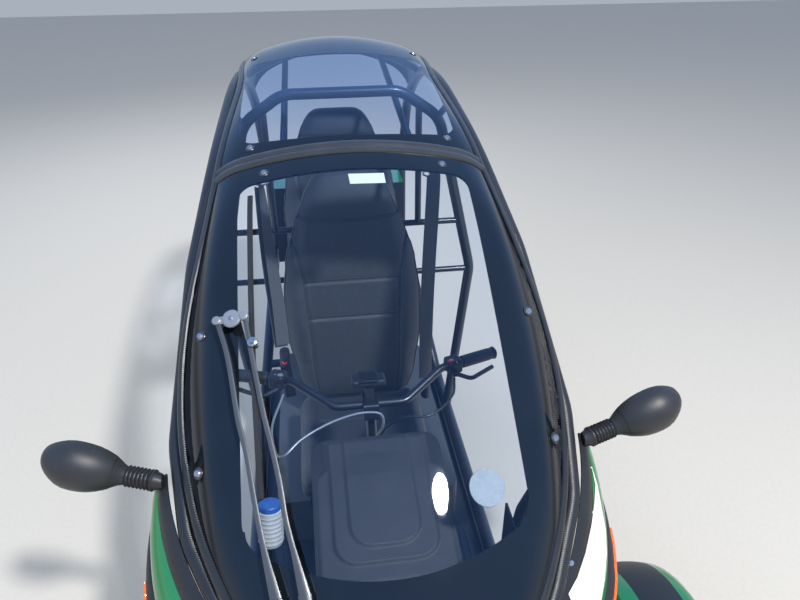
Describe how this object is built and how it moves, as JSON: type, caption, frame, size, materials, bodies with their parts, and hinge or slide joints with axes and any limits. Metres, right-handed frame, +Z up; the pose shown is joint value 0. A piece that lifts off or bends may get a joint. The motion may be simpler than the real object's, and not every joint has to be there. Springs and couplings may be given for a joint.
{
  "type": "three-wheeled electric vehicle",
  "caption": "Tandem-seat electric vehicle with steered front wheels, one rear wheel, handlebar steering, tubular frame and an arched windshield and roof.",
  "frame": {"origin": "on the ground, at the middle of the length and width", "axes": "+Z up, +Y to the vehicle's rear, +X to the vehicle's left"},
  "size_m": [1.549, 2.87, 1.6511],
  "materials": {
    "tyre": "matt rubber",
    "rim_black": "satin black",
    "cast_alloy": "cast",
    "green_paint": "gloss green",
    "black_tube": "satin black powder coat",
    "steel": "machined",
    "black_plastic": "grained",
    "black_trim": "satin moulding",
    "glass_clear": "clear",
    "glass_tinted": "tinted",
    "lamp_clear": "clear lens",
    "lamp_red": "red lens",
    "battery_grey": "satin",
    "seat_leatherette": "perforated leatherette"
  },
  "bodies": {
    "chassis": {"wishbones": "black_tube", "coilovers": "black_tube", "halfshafts": "steel", "drive_unit": "cast_alloy", "front_subframe": "black_tube", "rack_housing": "cast_alloy", "roof_rail_left": "black_trim", "roof_rail_right": "black_trim", "side_frame_left": "black_tube", "side_frame_right": "black_tube", "roll_hoop": "black_tube", "roof_bows": "black_tube", "rear_cross_tubes": "black_tube", "windshield": "glass_clear", "roof_panel": "glass_tinted", "cowl_trim": "black_trim", "nose_panel": "green_paint", "front_mask": "black_plastic", "headlamps": "lamp_clear", "shoulder_trims": "black_trim", "shoulder_panels": "green_paint", "marker_pods": "black_plastic", "floor_tub": "black_plastic", "column_bearing": "cast_alloy", "battery_box": "battery_grey", "seat_cushion_driver": "seat_leatherette", "seat_cushion_passenger": "seat_leatherette", "seat_back_driver": "seat_leatherette", "seat_back_passenger": "seat_leatherette", "seat_bases": "black_tube", "console": "black_plastic", "console_lid": "black_plastic", "mirrors": "black_plastic", "swingarm": "black_tube", "rear_shock": "black_tube", "rear_fender": "black_plastic", "trunk": "green_paint", "tail_lamps": "lamp_red", "plate_holder": "black_plastic"},
    "handlebar_set": {"handlebar": "black_tube", "bar_controls": "black_plastic", "display": "black_plastic"},
    "rack_set": {"rack_and_tie_rods": "steel"},
    "knuckle_left_set": {"knuckle_left": "cast_alloy", "fender_left": "green_paint"},
    "knuckle_right_set": {"knuckle_right": "cast_alloy", "fender_right": "green_paint"},
    "wheel_front_left": {"tyre_front_left": "tyre", "rim_front_left": "rim_black"},
    "wheel_front_right": {"tyre_front_right": "tyre", "rim_front_right": "rim_black"},
    "wheel_rear": {"tyre_rear": "tyre", "rim_rear": "rim_black"},
    "lid": {"trunk_lid": "green_paint"}
  },
  "joints": [
    {"name": "handlebar_steer", "type": "hinge", "parent": "chassis", "child": "handlebar_set", "pos_m": [0, -0.505, 0.905], "axis": [0, 0.2401, 0.9707], "range_deg": [-35, 35]},
    {"name": "knuckle_left_steer", "type": "hinge", "parent": "chassis", "child": "knuckle_left_set", "pos_m": [0.6055, -1, 0.28], "axis": [0, 0, 1], "range_deg": [-30, 30]},
    {"name": "knuckle_right_steer", "type": "hinge", "parent": "chassis", "child": "knuckle_right_set", "pos_m": [-0.6055, -1, 0.28], "axis": [0, 0, 1], "range_deg": [-30, 30]},
    {"name": "rack_slide", "type": "slide", "parent": "chassis", "child": "rack_set", "axis": [1, 0, 0], "range_m": [-0.0505, 0.0505]},
    {"name": "wheel_front_left_spin", "type": "hinge", "parent": "knuckle_left_set", "child": "wheel_front_left", "pos_m": [0.6705, -1, 0.28], "axis": [1, 0, 0], "continuous": true},
    {"name": "wheel_front_right_spin", "type": "hinge", "parent": "knuckle_right_set", "child": "wheel_front_right", "pos_m": [-0.6705, -1, 0.28], "axis": [1, 0, 0], "continuous": true},
    {"name": "wheel_rear_spin", "type": "hinge", "parent": "chassis", "child": "wheel_rear", "pos_m": [0, 1.032, 0.28], "axis": [1, 0, 0], "continuous": true},
    {"name": "trunk_lid_hinge", "type": "hinge", "parent": "chassis", "child": "lid", "pos_m": [0, 1.11672, 1.01051], "axis": [1, 0, 0], "range_deg": [0, 75]}
  ],
  "couplings": [
    {"joint": "knuckle_left_steer", "follows": "handlebar_steer", "ratio": 0.857},
    {"joint": "knuckle_right_steer", "follows": "handlebar_steer", "ratio": 0.857},
    {"joint": "rack_slide", "follows": "handlebar_steer", "m_per_rad": -0.0818}
  ]
}
